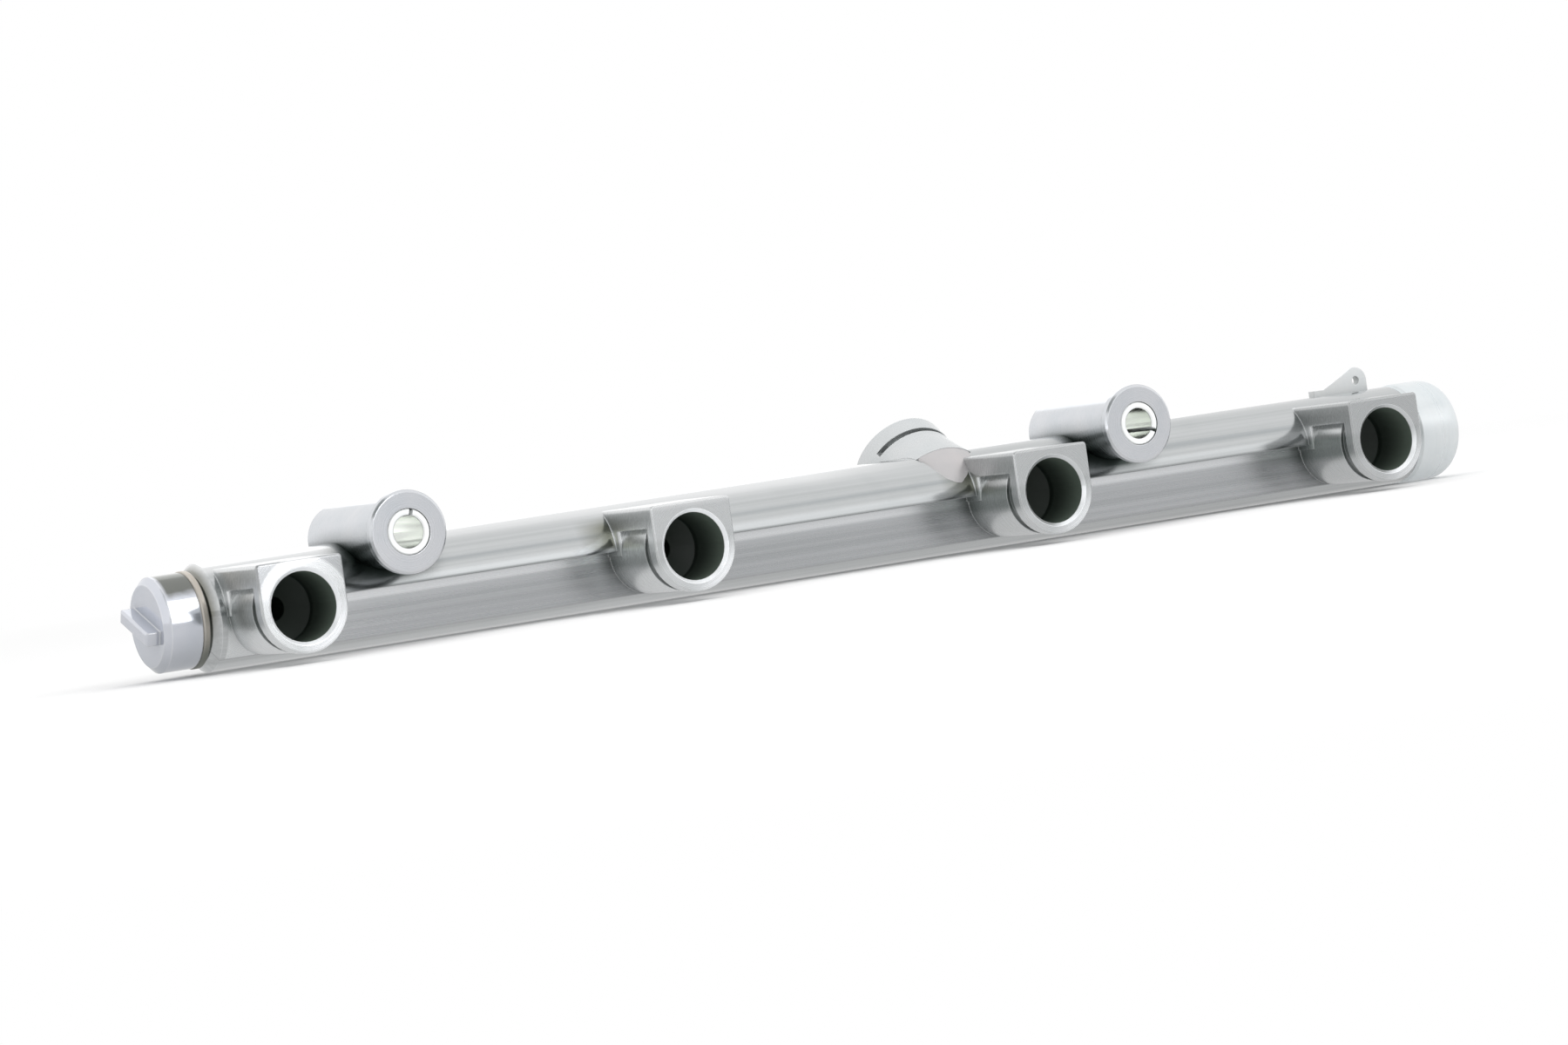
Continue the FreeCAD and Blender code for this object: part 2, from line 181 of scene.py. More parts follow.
# A span is the name of a place or mask, its start and end, and the level at both, which is 0
# and 1 where none is given. Spans in a row are multiplied with each other. LEAD_IN is the
# chamfer of a cup's mouth, and LOW_SHADE_LINE a line of painted shade near the flat's lower edge.
ON_FRONT = ("Depth", TUBE_CENTRE.y, TUBE_CENTRE.y - 1.0 * MM)
LEAD_IN = (("Radius", CUP_BORE_RADIUS + 0.8 * MM, CUP_BORE_RADIUS + 0.7 * MM),
           ("Depth", 0.8 * MM, 0.7 * MM))
LOW_SHADE_LINE = (("Height", -8.0 * MM, -8.5 * MM), ("Height", -9.7 * MM, -9.2 * MM),
            ("Cup", 0.9, 0.1, 0.0, 0.5))
CUP_MASKS = {
    "Near cup": (("Aside", CUP_HALF_WIDTH + 3.0 * MM, CUP_HALF_WIDTH + 0.2 * MM),),
    "Cup": (("Depth", FRONT_FLAT - 0.1 * MM, FRONT_FLAT - 0.2 * MM),
            ("Aside", CUP_HALF_WIDTH + 0.3 * MM, CUP_HALF_WIDTH + 0.1 * MM)),
    "Flat": (("Off flat", 0.2 * MM, 0.1 * MM),
             ("Height", LEDGE_HEIGHT + 0.1 * MM, LEDGE_HEIGHT)),
    "Bore": (("Radius", CUP_BORE_RADIUS + 0.08 * MM, CUP_BORE_RADIUS + 0.02 * MM),
             ("Depth", 0.6 * MM, 0.8 * MM),
             ("Depth", TUBE_CENTRE.y + 1.0 * MM, TUBE_CENTRE.y)),
    # Painted highlights on each cup's mouth: its lead-in ring, fainter along the rail, the ring's
    # lower right, and the lower right of the face
    "Whole ring": (*LEAD_IN, ("Station", 100.0 * MM, 170.0 * MM, 1.0, 0.4)),
    "Low ring": (*LEAD_IN, ("Lower right", 3.0 * MM, 9.0 * MM)),
    "Glint lower right": (("Lower right", 6.0 * MM, 12.5 * MM), ("Depth", 0.6 * MM, 0.4 * MM),
               ("Station", 120.0 * MM, 200.0 * MM, 0.9, 0.6)),
    "Near boss": (("Off boss", 17.0 * MM, 9.0 * MM), ("Height", 0.5 * MM, 3.0 * MM)),
    "Ledge": (("Height", LEDGE_HEIGHT + 0.6 * MM, LEDGE_HEIGHT + 0.3 * MM),
              ("Depth", FRONT_FLAT - 0.4 * MM, FRONT_FLAT - 1.0 * MM),
              ("Aside", CUP_HALF_WIDTH + 0.2 * MM, CUP_HALF_WIDTH + 3.0 * MM),
              ("Height", 0.0, 0.4 * MM, 0.0, 0.55)),
    "End": (("Station", RAIL_END + 1.8 * MM, RAIL_END + 0.6 * MM, 0.0, 0.75),
            ("Height", -6.0 * MM, 1.0 * MM)),
}
CUP_MASK_OUTPUTS = ("Station", "Depth", "Height", "Beside", "Radius", "Near cup", "Cup", "Flat",
                    "Bore", "Near boss", "Ledge", "End", "Glint")

# Tones are laid over each other in this order, each with its colour and the spans that place it.
# Most of them are painted light, shade or reflections.
TUBE_TONES = {
    "shade above the ledge": (
        EDGE_SHADE, ("Height", 1.0 * MM, 1.4 * MM), ("Height", 2.8 * MM, 1.9 * MM),
        ("Station", 65.0 * MM, 180.0 * MM, 0.0, 0.42), ("Flat", 0.9, 0.1), ON_FRONT),
}
CUP_TONES = {
    "lit lower side": (
        (0.80, 0.82, 0.83), ("Height", -2.0 * MM, -4.5 * MM),
        ("Station", 120.0 * MM, 170.0 * MM, 0.5, 0.25)),
    # Shade painted on the cups' waists and a highlight painted on the necks above them
    "painted shade on the waist": (
        (0.20, 0.235, 0.22), ("Height", 2.6 * MM, 1.6 * MM), ("Height", -3.5 * MM, -2.0 * MM),
        ("Depth", 0.6 * MM, 4.0 * MM, 0.15, 0.45), ("Station", 30.0 * MM, 200.0 * MM, 1.0, 1.5)),
    "painted highlight on the top of the neck": (
        (0.90, 0.92, 0.92), ("Height", 2.4 * MM, 3.0 * MM), ("Height", 5.4 * MM, 4.6 * MM),
        ("Depth", 4.0 * MM, 4.5 * MM, 0.0, 0.6)),
}
FRONT_TONES = {
    "shadow on the ledge": ((0.13, 0.14, 0.14), ("Ledge", 0.0, 1.0)),
    # Painted light on the upper part of the flat, under the ledge
    "painted light on the upper part of the flat": (
        (0.82, 0.83, 0.85), ("Flat", 0.0, 1.0), ("Height", -3.5 * MM, 0.6 * MM, 0.0, 0.38)),
    # Painted highlight in a thin strip on the flat just under the ledge
    "painted highlight under the ledge": (
        (0.97, 0.98, 0.99), ("Flat", 0.0, 1.0), ("Height", -1.3 * MM, -0.6 * MM, 0.0, 0.55),
        ("Height", 0.8 * MM, 0.5 * MM)),
    # Painted shade along the tube's lower edge
    "painted shade on the lower edge": (
        EDGE_SHADE, ("Height", -8.8 * MM, -10.0 * MM),
        ("Station", 80.0 * MM, 240.0 * MM, 0.0, 0.6)),
    # Painted highlight along the tube's crest, fading along the rail
    "painted highlight on the crest": (
        (0.97, 0.975, 0.98), ("Height", 8.0 * MM, 9.8 * MM),
        ("Station", 165.0 * MM, 130.0 * MM, 0.0, 0.6)),
    # Painted reflection of the ribs on the tube beside the middle cups
    "painted reflection of the ribs beside the middle cups": (
        (0.20, 0.205, 0.15),
        ("Beside", -17.5 * MM, -10.8 * MM, 0.0, 0.85), ("Beside", -9.4 * MM, -9.6 * MM),
        ("Height", 1.0 * MM, 2.2 * MM), ("Height", 8.5 * MM, 6.2 * MM),
        ("Station", 50.0 * MM, 60.0 * MM), ("Station", 190.0 * MM, 180.0 * MM), ON_FRONT),
    # Painted shade on the corners of the first cup's face, outside its bright ring
    "painted shade on the corners of the first cup": (
        (0.24, 0.25, 0.26), ("Radius", 9.6 * MM, 10.3 * MM), ("Depth", 0.6 * MM, 0.4 * MM),
        ("Station", 30.0 * MM, 20.0 * MM, 0.0, 0.6)),
    # Painted highlight on the cups' mouths
    "painted highlight on the cups' mouths": ((0.93, 0.95, 0.97), ("Glint", 0.0, 1.0)),
}
# Painted shade in the cups' bores, darker deeper in and darkest on the floor
BORE_SHADE_TONES = {
    "painted shade deep in the bore": ((0.06, 0.077, 0.065), ("Depth", 3.0 * MM, 10.0 * MM)),
    "floor": ((0.030, 0.042, 0.034), ("Depth", 11.8 * MM, 12.4 * MM)),
}

# Lamps: name, position, size and watts. Cards: name, position, the point they face, size,
# light and lean. The studio's centre is the point that most of them face.
STUDIO_CENTRE = (0.13, 0.02, 0.0)
LAMPS = (
    ("lamp_top", (0.13, 0.05, 1.1), (1.6, 1.0), 5.0),
    ("lamp_front", (0.55, -1.15, 0.80), (1.5, 0.60), 7.0),
)
CARDS = (
    ("card_front_left", (-0.72, -1.52, 0.02), STUDIO_CENTRE, (1.3, 0.80), (0.30, 0.32, 0.32), 0.0),
    ("card_front_right", (0.95, -1.45, 0.0), STUDIO_CENTRE, (1.9, 0.56), (0.78, 0.79, 0.805), 0.0),
    ("card_bright", (0.93, -1.38, 0.50), STUDIO_CENTRE, (2.0, 0.26), (1.32, 1.33, 1.34), 0.0),
    ("card_dip", (0.70, -1.02, 1.12), STUDIO_CENTRE, (2.2, 0.22), (0.74, 0.76, 0.77), 0.0),
    ("card_back_right", (0.58, 1.15, 0.70), (0.58, 0.0, 0.70), (0.56, 1.4), (1.42, 1.42, 1.42),
     math.radians(15.0)),
    ("card_high_left", (-0.52, -0.36, 1.02), STUDIO_CENTRE, (0.8, 0.9), (0.30, 0.32, 0.31), 0.0),
    ("card_plug_window", (0.032, -0.077, 0.048), (0.032, 0.0084, 0.004), (0.016, 0.11),
     (4.5, 4.5, 4.6), 0.0),
)

# The camera's place, its direction and its upward direction
CAMERA_PLACE = (-0.40491757, -0.91964672, 0.02756044)
CAMERA_LOOK = (0.48782543, 0.87260379, -0.02426891)
CAMERA_UP = (0.13264533, -0.04661902, 0.99006661)
SENSOR_WIDTH = 36.0
NEAREST, FARTHEST = 0.01, 50.0

# The floor: half its width, where it fades to white, and how it shows in reflections
FLOOR_HALF_WIDTH = 6.0
FLOOR_FADE = (0.25, 0.6)
FLOOR_MIRRORED = 0.95
FLOOR_MIRRORED_LEVEL = 0.74
FLOOR_ROUGHNESS = 0.9


class FuelRailFinish(bpy.types.PropertyGroup):
    """Colours of the pieces and the depth of their lines"""

    drawn_colour: bpy.props.FloatVectorProperty(
        name="Drawn aluminium", description="Colour of the gallery tube", subtype="COLOR",
        default=(0.57, 0.585, 0.59), min=0.0, max=1.0)
    milled_colour: bpy.props.FloatVectorProperty(
        name="Milled flat", description="Colour of the flat below the ledge", subtype="COLOR",
        default=(0.49, 0.50, 0.51), min=0.0, max=1.0)
    turned_colour: bpy.props.FloatVectorProperty(
        name="Turned aluminium", description="Colour of the cups and the inlet", subtype="COLOR",
        default=(0.66, 0.675, 0.68), min=0.0, max=1.0)
    boss_colour: bpy.props.FloatVectorProperty(
        name="Bosses", description="Colour of the turned mounting bosses", subtype="COLOR",
        default=(0.73, 0.74, 0.765), min=0.0, max=1.0)
    tab_colour: bpy.props.FloatVectorProperty(
        name="Tab", description="Colour of the small eye tab", subtype="COLOR",
        default=(0.86, 0.87, 0.87), min=0.0, max=1.0)
    braze_colour: bpy.props.FloatVectorProperty(
        name="Braze", description="Colour of the brazed fillet at the inlet", subtype="COLOR",
        default=(0.60, 0.575, 0.575), min=0.0, max=1.0)
    cap_colour: bpy.props.FloatVectorProperty(
        name="Cap", description="Colour of the domed end cap", subtype="COLOR",
        default=(0.76, 0.79, 0.80), min=0.0, max=1.0)
    sleeve_colour: bpy.props.FloatVectorProperty(
        name="Sleeve steel", description="Colour of the rolled sleeves", subtype="COLOR",
        default=(0.96, 0.97, 0.965), min=0.0, max=1.0)
    plated_colour: bpy.props.FloatVectorProperty(
        name="Plating", description="Colour of the plated screw plug", subtype="COLOR",
        default=(0.70, 0.715, 0.77), min=0.0, max=1.0)
    washer_colour: bpy.props.FloatVectorProperty(
        name="Washer", description="Colour of the sealing washer", subtype="COLOR",
        default=(0.60, 0.55, 0.49), min=0.0, max=1.0)
    rubber_colour: bpy.props.FloatVectorProperty(
        name="Seal rubber", description="Colour of the cap's seal", subtype="COLOR",
        default=(0.03, 0.03, 0.034), min=0.0, max=1.0)
    line_depth: bpy.props.FloatProperty(
        name="Line depth", description="How strongly the drawn and turned lines show in the light",
        default=0.12, min=0.0, max=1.0, subtype="FACTOR")


class FuelRailStage(bpy.types.PropertyGroup):
    """Floor, lamps and camera"""

    floor_colour: bpy.props.FloatVectorProperty(
        name="Floor", description="Colour of the plain floor", subtype="COLOR",
        default=(0.90, 0.90, 0.90), min=0.0, max=1.0)
    fill_level: bpy.props.FloatProperty(
        name="Fill", description="Brightness of the even light from all round",
        default=0.75, min=0.0, max=2.0)
    lens: bpy.props.FloatProperty(
        name="Lens", description="Focal length of the camera in millimetres",
        default=117.07, min=10.0, max=500.0)


SETTINGS = (FuelRailFinish, FuelRailStage)


def add(tree, kind, inputs=None, **settings):
    """Adds one node, sets its options and fills its inputs with values or links."""
    node = tree.nodes.new(kind)
    for key, value in settings.items():
        setattr(node, key, value)
    for key, value in (inputs or {}).items():
        socket = node.inputs[key]
        if isinstance(value, bpy.types.NodeSocket):
            tree.links.new(value, socket)
        elif socket.type == "RGBA":
            socket.default_value = (*value, 1.0)
        else:
            socket.default_value = value
    return node


def math_node(tree, operation, first, second=0.0, third=0.0, clamp=False):
    """One Math node's result."""
    return add(tree, "ShaderNodeMath", {0: first, 1: second, 2: third},
               operation=operation, use_clamp=clamp).outputs[0]


def blend_colour(tree, factor, first, second):
    """Result of mixing two colours."""
    return add(tree, "ShaderNodeMix", {0: factor, 6: first, 7: second},
               data_type="RGBA").outputs[2]


def blend_value(tree, factor, first, second):
    """Result of mixing two numbers."""
    return add(tree, "ShaderNodeMix", {0: factor, 2: first, 3: second},
               data_type="FLOAT").outputs[0]


def ramp(tree, value, low, high, to_low=0.0, to_high=1.0):
    """Value spread from low..high to to_low..to_high, held at both ends."""
    return add(tree, "ShaderNodeMapRange",
               {"Value": value, "From Min": low, "From Max": high,
                "To Min": to_low, "To Max": to_high}, clamp=True).outputs["Result"]


def product(tree, first, *others):
    """All the values multiplied with each other."""
    for other in others:
        first = math_node(tree, "MULTIPLY", first, other)
    return first


def placed(tree, places, spans):
    """Mask of where all the spans hold, each spread over the place or mask of its name."""
    return product(tree, *(ramp(tree, places[name], *span) for name, *span in spans))


def lay_tones(tree, places, colour, tones):
    """Lays each tone over the colour where its spans hold."""
    for tone, *spans in tones.values():
        colour = blend_colour(tree, placed(tree, places, spans), colour, tone)
    return colour


def effect_group(name, inputs, outputs):
    """Starts a node group with named sockets; returns it with its input and output nodes."""
    tree = bpy.data.node_groups.new(name, "ShaderNodeTree")
    for socket_name, kind, default in inputs:
        socket = tree.interface.new_socket(socket_name, in_out="INPUT", socket_type=kind)
        socket.default_value = default
    for socket_name, kind in outputs:
        tree.interface.new_socket(socket_name, in_out="OUTPUT", socket_type=kind)
    return tree, tree.nodes.new("NodeGroupInput"), tree.nodes.new("NodeGroupOutput")


def build_drawn_lines():
    """Fine lines that run along the rail, as a drawing die leaves them."""
    tree, into, out = effect_group(
        "Drawn lines",
        [("Length", "NodeSocketFloat", 50.0 * MM), ("Width", "NodeSocketFloat", 0.4 * MM)],
        [("Lines", "NodeSocketFloat")])
    place = add(tree, "ShaderNodeTexCoord").outputs["Object"]
    parts = add(tree, "ShaderNodeSeparateXYZ", {"Vector": place}).outputs
    stretched = add(tree, "ShaderNodeCombineXYZ", {
        axis: math_node(tree, "DIVIDE", parts[axis], into.outputs[size])
        for axis, size in (("X", "Length"), ("Y", "Width"), ("Z", "Width"))}).outputs[0]
    grain = add(tree, "ShaderNodeTexNoise", {"Vector": stretched, "Scale": 1.0, "Detail": 2.0})
    tree.links.new(grain.outputs["Fac"], out.inputs["Lines"])
    return tree


def build_turned_rings():
    """Fine rings about an axis, as a lathe tool leaves them on round and on flat faces."""
    tree, into, out = effect_group(
        "Turned rings",
        [("Position", "NodeSocketVector", (0.0, 0.0, 0.0)), ("Axis", "NodeSocketVector", INTO_CUP),
         ("Pitch", "NodeSocketFloat", 0.3 * MM)],
        [("Rings", "NodeSocketFloat"), ("Radius", "NodeSocketFloat")])
    both = {0: into.outputs["Position"], 1: into.outputs["Axis"]}
    depth = add(tree, "ShaderNodeVectorMath", both, operation="DOT_PRODUCT").outputs["Value"]
    side = add(tree, "ShaderNodeVectorMath", both, operation="CROSS_PRODUCT").outputs["Vector"]
    radius = add(tree, "ShaderNodeVectorMath", {0: side}, operation="LENGTH").outputs["Value"]
    turns = math_node(tree, "DIVIDE", math_node(tree, "ADD", depth, radius), into.outputs["Pitch"])
    grain = add(tree, "ShaderNodeTexNoise", {"W": turns, "Scale": 1.0, "Detail": 1.5},
                noise_dimensions="1D")
    tree.links.new(grain.outputs["Fac"], out.inputs["Rings"])
    tree.links.new(radius, out.inputs["Radius"])
    return tree


def build_handling_marks():
    """Faint cloudy patches left by oxide and handling."""
    tree, into, out = effect_group(
        "Handling marks", [("Patch", "NodeSocketFloat", 12.0 * MM)],
        [("Clouds", "NodeSocketFloat")])
    place = add(tree, "ShaderNodeTexCoord").outputs["Object"]
    scale = math_node(tree, "DIVIDE", 1.0, into.outputs["Patch"])
    clouds = add(tree, "ShaderNodeTexNoise",
                 {"Vector": place, "Scale": scale, "Detail": 3.0, "Roughness": 0.55})
    tree.links.new(clouds.outputs["Fac"], out.inputs["Clouds"])
    return tree


def build_broken_edges():
    """Softens sharp edges in the light and gives a mask of them."""
    tree, into, out = effect_group(
        "Broken edges", [("Width", "NodeSocketFloat", 0.3 * MM)],
        [("Edge", "NodeSocketFloat"), ("Normal", "NodeSocketVector")])
    soft = add(tree, "ShaderNodeBevel", {"Radius": into.outputs["Width"]}, samples=6)
    sharp = add(tree, "ShaderNodeNewGeometry")
    same = add(tree, "ShaderNodeVectorMath",
               {0: soft.outputs["Normal"], 1: sharp.outputs["Normal"]}, operation="DOT_PRODUCT")
    tree.links.new(ramp(tree, same.outputs["Value"], *EDGE_TURN), out.inputs["Edge"])
    tree.links.new(soft.outputs["Normal"], out.inputs["Normal"])
    return tree


def build_hollows():
    """Mask of the hollows that light hardly reaches, within one piece or between pieces."""
    tree, into, out = effect_group(
        "Hollows", [("Reach", "NodeSocketFloat", 12.0 * MM)],
        [("Own hollow", "NodeSocketFloat"), ("Any hollow", "NodeSocketFloat")])
    for local, socket in ((True, "Own hollow"), (False, "Any hollow")):
        open_sky = add(tree, "ShaderNodeAmbientOcclusion", {"Distance": into.outputs["Reach"]},
                       samples=8, only_local=local)
        tree.links.new(ramp(tree, open_sky.outputs["AO"], *OPEN_SKY), out.inputs[socket])
    return tree


def build_cup_masks():
    """Place on the rail and within the nearest cup, and masks of flat, cups, rims and bores."""
    outputs = [("Position", "NodeSocketVector")]
    outputs += [(name, "NodeSocketFloat") for name in CUP_MASK_OUTPUTS]
    tree, _, out = effect_group("Cup masks", [], outputs)
    place = add(tree, "ShaderNodeTexCoord").outputs["Object"]
    parts = add(tree, "ShaderNodeSeparateXYZ", {"Vector": place}).outputs
    station, depth, height = parts["X"], parts["Y"], parts["Z"]
    beside = math_node(tree, "WRAP", station, CUP_PITCH / 2, -CUP_PITCH / 2)
    local = add(tree, "ShaderNodeCombineXYZ", {"X": beside, "Y": depth, "Z": height}).outputs[0]
    spoke = add(tree, "ShaderNodeCombineXYZ", {"X": beside, "Z": height}).outputs[0]
    radius = add(tree, "ShaderNodeVectorMath", {0: spoke}, operation="LENGTH").outputs["Value"]
    from_boss = math_node(tree, "WRAP", math_node(tree, "SUBTRACT", station, BOLT_HOLE.x),
                          BOLT_PITCH / 2, -BOLT_PITCH / 2)
    places = {
        "Position": local, "Station": station, "Depth": depth, "Height": height,
        "Beside": beside, "Radius": radius,
        "Aside": math_node(tree, "ABSOLUTE", beside),
        "Lower right": math_node(tree, "SUBTRACT", beside, height),
        "Off flat": math_node(tree, "ABSOLUTE", math_node(tree, "SUBTRACT", depth, FRONT_FLAT)),
        "Off boss": math_node(tree, "ABSOLUTE", from_boss),
    }
    for name, spans in CUP_MASKS.items():
        places[name] = placed(tree, places, spans)
    ring = math_node(tree, "MAXIMUM", places["Whole ring"], places["Low ring"])
    places["Glint"] = math_node(tree, "MAXIMUM", ring, places["Glint lower right"])
    for name in ("Position", *CUP_MASK_OUTPUTS):
        tree.links.new(places[name], out.inputs[name])
    return tree


EFFECTS = {
    "Drawn lines": build_drawn_lines,
    "Turned rings": build_turned_rings,
    "Handling marks": build_handling_marks,
    "Broken edges": build_broken_edges,
    "Cup masks": build_cup_masks,
    "Hollows": build_hollows,
}


def use_effect(tree, name, inputs=None):
    """Places an effect group, built the first time it is used; returns its outputs."""
    group = bpy.data.node_groups.get(name) or EFFECTS[name]()
    return add(tree, "ShaderNodeGroup", inputs, node_tree=group).outputs


def start_material(name):
    """A material with a bare Principled BSDF."""
    material = bpy.data.materials.new(name)
    material.use_nodes = True
    tree = material.node_tree
    return material, tree, tree.nodes["Principled BSDF"]


def brighter(colour, factor):
    """The colour times a factor, held at white."""
    return tuple(min(1.0, part * factor) for part in colour)


def turned_metal(name, colour, axis, centre, depth, roughness=0.22, pitch=0.16 * MM,
                 edge=0.3 * MM, wrap=None, hollow=0.8, reach=12.0 * MM, metal=1.0,
                 rings_level=0.12):
    """A turned metal surface with rings about its own axis, faint clouds, and broken edges
    lightened as wear and as a painted highlight.

    wrap repeats the axis along the rail. depth is the rings' depth in the light, and rings_level
    their strength in the colour. hollow is how strong the shade painted into the hollows is, and
    reach how wide.
    """
    material, tree, shader = start_material(name)
    place = add(tree, "ShaderNodeTexCoord").outputs["Object"]
    position = add(tree, "ShaderNodeVectorMath", {0: place, 1: tuple(centre)},
                   operation="SUBTRACT").outputs["Vector"]
    if wrap:
        parts = add(tree, "ShaderNodeSeparateXYZ", {"Vector": position}).outputs
        beside = math_node(tree, "WRAP", parts["X"], wrap / 2, -wrap / 2)
        position = add(tree, "ShaderNodeCombineXYZ",
                       {"X": beside, "Y": parts["Y"], "Z": parts["Z"]}).outputs[0]
    rings = use_effect(tree, "Turned rings", {
        "Position": position, "Axis": tuple(axis), "Pitch": pitch})["Rings"]
    clouds = use_effect(tree, "Handling marks", {"Patch": 9.0 * MM})["Clouds"]
    edges = use_effect(tree, "Broken edges", {"Width": edge})
    hollows = use_effect(tree, "Hollows", {"Reach": reach})["Any hollow"]
    clouded = tuple(part * tint for part, tint in zip(colour, CLOUD_TINT))
    body = blend_colour(tree, ramp(tree, clouds, *NARROW), clouded, colour)
    body = blend_colour(tree, ramp(tree, rings, *MIDDLE, 0.0, rings_level), body,
                        brighter(colour, RING_LIFT))
    # Broken edges lightened as wear and as a painted highlight
    body = blend_colour(tree, product(tree, edges["Edge"], TURNED_WEAR_GLINT), body, WORN_TURNED_GLINT)
    # Shade painted into the hollows, darker where less open sky is seen
    body = blend_colour(tree, product(tree, hollows, hollow), body, TURNED_PAINTED_SHADE)
    tree.links.new(body, shader.inputs["Base Color"])
    shader.inputs["Metallic"].default_value = metal
    rough = ramp(tree, rings, *WIDE, *(roughness + spread for spread in TURNED_SPREAD))
    tree.links.new(rough, shader.inputs["Roughness"])
    bump = add(tree, "ShaderNodeBump", {
        "Strength": depth, "Distance": RING_HEIGHT, "Height": rings, "Normal": edges["Normal"]})
    tree.links.new(bump.outputs["Normal"], shader.inputs["Normal"])
    return material


def rail_metal(name, finish):
    """The rail's own surface: drawn tube, milled flat and machined cups, with painted shade in the
    hollows and bores and painted highlights, shade and reflections on the front.
    """
    material, tree, shader = start_material(name)
    masks = use_effect(tree, "Cup masks")
    lines = use_effect(tree, "Drawn lines", {"Length": 250.0 * MM, "Width": 0.7 * MM})["Lines"]
    broad = use_effect(tree, "Drawn lines", {"Length": 400.0 * MM, "Width": 1.6 * MM})["Lines"]
    rings = use_effect(tree, "Turned rings", {
        "Position": masks["Position"], "Axis": INTO_CUP, "Pitch": 0.18 * MM})["Rings"]
    clouds = use_effect(tree, "Handling marks", {"Patch": 14.0 * MM})["Clouds"]
    edges = use_effect(tree, "Broken edges", {"Width": 0.3 * MM})
    hollows = use_effect(tree, "Hollows", {"Reach": 12.0 * MM})

    tube = blend_colour(tree, masks["Flat"], finish.drawn_colour, finish.milled_colour)
    light_lines = ramp(tree, lines, *NARROW, 0.0, LIGHT_LINE_LEVEL)
    dark_lines = ramp(tree, broad, *BROAD_LINES, 0.0, DARK_LINE_LEVEL)
    tube = blend_colour(tree, light_lines, tube, LIGHT_LINE)
    tube = blend_colour(tree, dark_lines, tube, DARK_LINE)
    tube = lay_tones(tree, masks, tube, TUBE_TONES)

    # Painted light: the first cup lighter and the last darker, blended along the rail
    first, last = (brighter(finish.turned_colour, lift) for lift in CUP_LIT_AND_SHADED_LIFTS)
    along = ramp(tree, masks["Station"], CUP_STATIONS[0], CUP_STATIONS[-1])
    light = blend_colour(tree, along, first, last)
    groove = blend_colour(tree, GROOVE_SHADE, light, BLACK)
    cup = blend_colour(tree, ramp(tree, rings, *MIDDLE, 0.0, CUP_RINGS_LEVEL), groove, light)
    cup = lay_tones(tree, masks, cup, CUP_TONES)

    body = blend_colour(tree, masks["Cup"], tube, cup)
    oxide = ramp(tree, clouds, *OXIDE_PATCHES, 0.0, OXIDE_LEVEL)
    body = blend_colour(tree, oxide, body, OXIDE)
    body = lay_tones(tree, masks, body, FRONT_TONES)
    # A line of painted shade near the flat's lower edge
    low_shade_line = placed(tree, masks, LOW_SHADE_LINE)
    body = blend_colour(tree, product(tree, low_shade_line, LOW_SHADE_LINE_LEVEL), body, EDGE_SHADE)
    kept_dark = math_node(tree, "MAXIMUM", masks["Ledge"], low_shade_line)
    # Broken edges lightened as wear and as a painted highlight, but not on the ledge's painted
    # shadow or the low line of painted shade
    wear_glint = math_node(tree, "SUBTRACT", RAIL_WEAR_GLINT, kept_dark)
    worn_glint = math_node(tree, "MULTIPLY", edges["Edge"], wear_glint, clamp=True)
    body = blend_colour(tree, worn_glint, body, WORN_RAIL_GLINT)
    # The rail darker over its top, right at its end
    body = blend_colour(tree, masks["End"], body, END_DARK_TOP)
    # Painted shade in the hollows beside the cups and a painted shadow under the bosses
    deep = product(tree, hollows["Own hollow"], masks["Near cup"],
                   ramp(tree, masks["Height"], *CUP_HOLLOW_HEIGHTS, *CUP_HOLLOW_LEVELS))
    shadow = math_node(tree, "MULTIPLY", hollows["Any hollow"], BOSS_SHADOW, clamp=True)
    shadow = product(tree, shadow, masks["Near boss"])
    body = blend_colour(tree, math_node(tree, "MAXIMUM", deep, shadow), body, RAIL_PAINTED_SHADE)
    # Painted shade in the cups' bores
    body = blend_colour(tree, masks["Bore"], body, lay_tones(tree, masks, BORE_PAINTED_SHADE, BORE_SHADE_TONES))
    tree.links.new(body, shader.inputs["Base Color"])

    # The painted highlight and the cups are partly matt, so the soft light lifts them
    matt = math_node(tree, "MAXIMUM", product(tree, masks["Glint"], GLINT_MATT),
                     product(tree, masks["Cup"], CUP_MATT))
    outside = math_node(tree, "SUBTRACT", 1.0, masks["Bore"])
    metal = math_node(tree, "SUBTRACT", outside, matt, clamp=True)
    tree.links.new(metal, shader.inputs["Metallic"])
    grain = blend_colour(tree, masks["Cup"], lines, rings)
    machined = math_node(tree, "MAXIMUM", masks["Flat"], masks["Cup"])
    rough = blend_value(tree, machined, ramp(tree, grain, *WIDE, *DRAWN_ROUGHNESS),
                        ramp(tree, grain, *WIDE, *MACHINED_ROUGHNESS))
    rough = blend_value(tree, masks["Bore"], rough, BORE_ROUGHNESS)
    tree.links.new(rough, shader.inputs["Roughness"])
    bump = add(tree, "ShaderNodeBump", {
        "Strength": finish.line_depth * 0.5, "Distance": GRAIN_HEIGHT,
        "Height": grain, "Normal": edges["Normal"]})
    tree.links.new(bump.outputs["Normal"], shader.inputs["Normal"])
    return material


